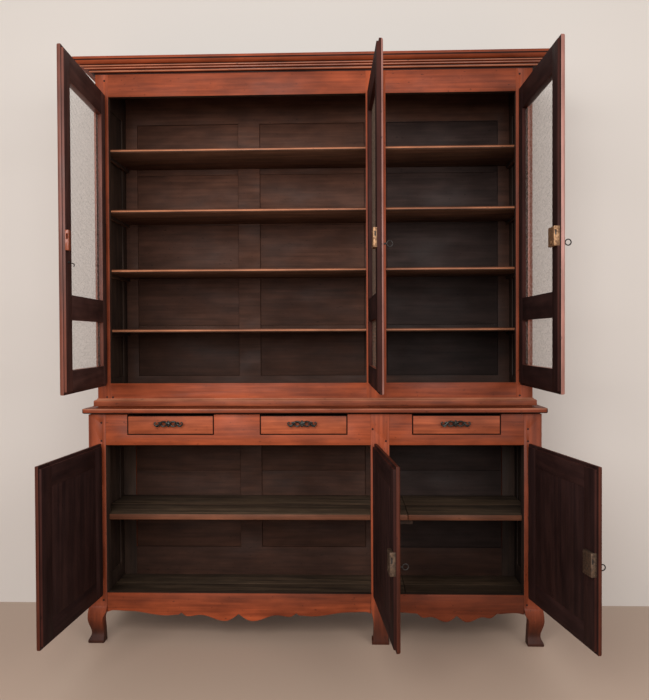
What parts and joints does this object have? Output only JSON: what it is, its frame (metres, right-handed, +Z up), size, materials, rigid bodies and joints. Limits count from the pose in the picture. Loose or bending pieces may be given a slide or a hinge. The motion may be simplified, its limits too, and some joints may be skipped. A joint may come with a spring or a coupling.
{
  "type": "two-part cabinet",
  "caption": "Two-part cherry-wood cabinet: low cupboard on shaped feet with drawers and panelled doors, upper cupboard with shelves and wire-net doors.",
  "frame": {"origin": "on the floor, under the middle of the box that the cabinet fills as it stands with its doors open", "axes": "+X across the front to the right seen from the front, +Y from the front to the back, +Z up"},
  "size_m": [1.9113, 0.9976, 2.317],
  "materials": {
    "cherry_outside": "waxed cherry wood, satin",
    "cherry_doors": "waxed cherry wood, satin",
    "dark_inside": "dark stained softwood, matt",
    "back_boards": "dark stained boards, matt",
    "iron": "dark wrought and cast iron",
    "brass": "aged brass, dull",
    "bolt_steel": "worn steel",
    "wire_net": "galvanised wire"
  },
  "bodies": {
    "root": {"lower_front_posts": "cherry_outside", "lower_rear_posts": "cherry_outside", "frieze_rails": "cherry_outside", "apron_rails": "cherry_outside", "lower_back": "back_boards", "lower_sides": "cherry_outside", "lower_shelf_boards": "dark_inside", "lower_floor_boards": "dark_inside", "bearers": "dark_inside", "drawer_runners": "dark_inside", "top_plank": "cherry_outside", "upper_front_stiles": "cherry_outside", "upper_front_rails": "cherry_outside", "cornice": "cherry_outside", "base_moulding": "cherry_outside", "upper_sides": "cherry_outside", "upper_back": "back_boards", "upper_shelves": "dark_inside", "upper_floor_and_top": "dark_inside", "shelf_cleats": "dark_inside", "joint_pegs": "cherry_outside", "frame_hinges": "iron"},
    "upper_left_door": {"upper_left_door_frame": "cherry_doors", "upper_left_net": "wire_net", "upper_left_hinges": "iron", "upper_left_keeper": "cherry_doors"},
    "upper_middle_door": {"upper_middle_door_frame": "cherry_doors", "upper_middle_net": "wire_net", "upper_middle_hinges": "iron", "upper_middle_lock": "brass"},
    "upper_right_door": {"upper_right_door_frame": "cherry_doors", "upper_right_net": "wire_net", "upper_right_hinges": "iron", "upper_right_lock": "brass"},
    "lower_left_door": {"lower_left_door": "cherry_doors", "lower_left_hinges": "iron"},
    "lower_middle_door": {"lower_middle_door": "cherry_doors", "lower_middle_hinges": "iron", "lower_middle_lock": "brass"},
    "lower_right_door": {"lower_right_door": "cherry_doors", "lower_right_hinges": "iron", "lower_right_lock": "brass"},
    "hook": {"door_hook": "iron"},
    "upper_middle_bolt": {"upper_middle_bolt": "bolt_steel"},
    "upper_middle_key": {"upper_middle_key": "iron"},
    "upper_right_bolt": {"upper_right_bolt": "bolt_steel"},
    "upper_right_key": {"upper_right_key": "iron"},
    "lower_middle_bolt": {"lower_middle_bolt": "bolt_steel"},
    "lower_middle_key": {"lower_middle_key": "iron"},
    "lower_right_bolt": {"lower_right_bolt": "bolt_steel"},
    "lower_right_key": {"lower_right_key": "iron"},
    "left_drawer": {"left_drawer_front": "cherry_outside", "left_drawer_box": "dark_inside", "left_drawer_pull": "iron"},
    "middle_drawer": {"middle_drawer_front": "cherry_outside", "middle_drawer_box": "dark_inside", "middle_drawer_pull": "iron"},
    "right_drawer": {"right_drawer_front": "cherry_outside", "right_drawer_box": "dark_inside", "right_drawer_pull": "iron"}
  },
  "joints": [
    {"name": "upper_left_door_hinge", "type": "hinge", "parent": "root", "child": "upper_left_door", "pos_m": [-0.85499, 0.09272, 1.032], "axis": [0, 0, -1], "range_deg": [-87.2, 24.8]},
    {"name": "upper_middle_door_hinge", "type": "hinge", "parent": "root", "child": "upper_middle_door", "pos_m": [0.21401, 0.09272, 1.032], "axis": [0, 0, 1], "range_deg": [-92, 20]},
    {"name": "upper_right_door_hinge", "type": "hinge", "parent": "root", "child": "upper_right_door", "pos_m": [0.80351, 0.09272, 1.032], "axis": [0, 0, 1], "range_deg": [-91.5, 20.5]},
    {"name": "lower_left_door_hinge", "type": "hinge", "parent": "root", "child": "lower_left_door", "pos_m": [-0.86349, 0.04972, 0.2], "axis": [0, 0, -1], "range_deg": [-93.4, 18.6]},
    {"name": "lower_middle_door_hinge", "type": "hinge", "parent": "root", "child": "lower_middle_door", "pos_m": [0.22751, 0.04972, 0.2], "axis": [0, 0, 1], "range_deg": [-95.6, 16.4]},
    {"name": "lower_right_door_hinge", "type": "hinge", "parent": "root", "child": "lower_right_door", "pos_m": [0.82551, 0.04972, 0.2], "axis": [0, 0, 1], "range_deg": [-100.1, 11.9]},
    {"name": "left_drawer_slide", "type": "slide", "parent": "root", "child": "left_drawer", "axis": [0, -1, 0], "range_m": [0, 0.3]},
    {"name": "middle_drawer_slide", "type": "slide", "parent": "root", "child": "middle_drawer", "axis": [0, -1, 0], "range_m": [0, 0.3]},
    {"name": "right_drawer_slide", "type": "slide", "parent": "root", "child": "right_drawer", "axis": [0, -1, 0], "range_m": [0, 0.3]},
    {"name": "upper_middle_key_turn", "type": "hinge", "parent": "upper_middle_door", "child": "upper_middle_key", "pos_m": [0.23846, -0.40674, 1.522], "axis": [-0.9994, -0.0349, 0], "range_deg": [0, 90.1]},
    {"name": "upper_middle_bolt_slide", "type": "slide", "parent": "upper_middle_door", "child": "upper_middle_bolt", "axis": [0.0349, -0.9994, 0], "range_m": [0, 0.012]},
    {"name": "upper_right_key_turn", "type": "hinge", "parent": "upper_right_door", "child": "upper_right_key", "pos_m": [0.82353, -0.40443, 1.522], "axis": [-0.9997, -0.0262, 0], "range_deg": [0, 90.1]},
    {"name": "upper_right_bolt_slide", "type": "slide", "parent": "upper_right_door", "child": "upper_right_bolt", "axis": [0.0262, -0.9997, 0], "range_m": [0, 0.012]},
    {"name": "lower_middle_key_turn", "type": "hinge", "parent": "lower_middle_door", "child": "lower_middle_key", "pos_m": [0.28395, -0.45418, 0.462], "axis": [-0.9952, -0.0976, 0], "range_deg": [0, 90.1]},
    {"name": "lower_middle_bolt_slide", "type": "slide", "parent": "lower_middle_door", "child": "lower_middle_bolt", "axis": [0.0976, -0.9952, 0], "range_m": [0, 0.012]},
    {"name": "lower_right_key_turn", "type": "hinge", "parent": "lower_right_door", "child": "lower_right_key", "pos_m": [0.92202, -0.45214, 0.462], "axis": [-0.9845, -0.1754, 0], "range_deg": [0, 90.1]},
    {"name": "lower_right_bolt_slide", "type": "slide", "parent": "lower_right_door", "child": "lower_right_bolt", "axis": [0.1754, -0.9845, 0], "range_m": [0, 0.012]},
    {"name": "door_hook_turn", "type": "hinge", "parent": "upper_left_door", "child": "hook", "pos_m": [-0.81548, -0.40795, 1.469], "axis": [0.9988, 0.0489, 0], "range_deg": [-90, 90]}
  ],
  "couplings": [
    {"joint": "upper_middle_key_turn", "follows": "upper_middle_bolt_slide", "rad_per_m": 130.9},
    {"joint": "upper_right_key_turn", "follows": "upper_right_bolt_slide", "rad_per_m": 130.9},
    {"joint": "lower_middle_key_turn", "follows": "lower_middle_bolt_slide", "rad_per_m": 130.9},
    {"joint": "lower_right_key_turn", "follows": "lower_right_bolt_slide", "rad_per_m": 130.9}
  ]
}
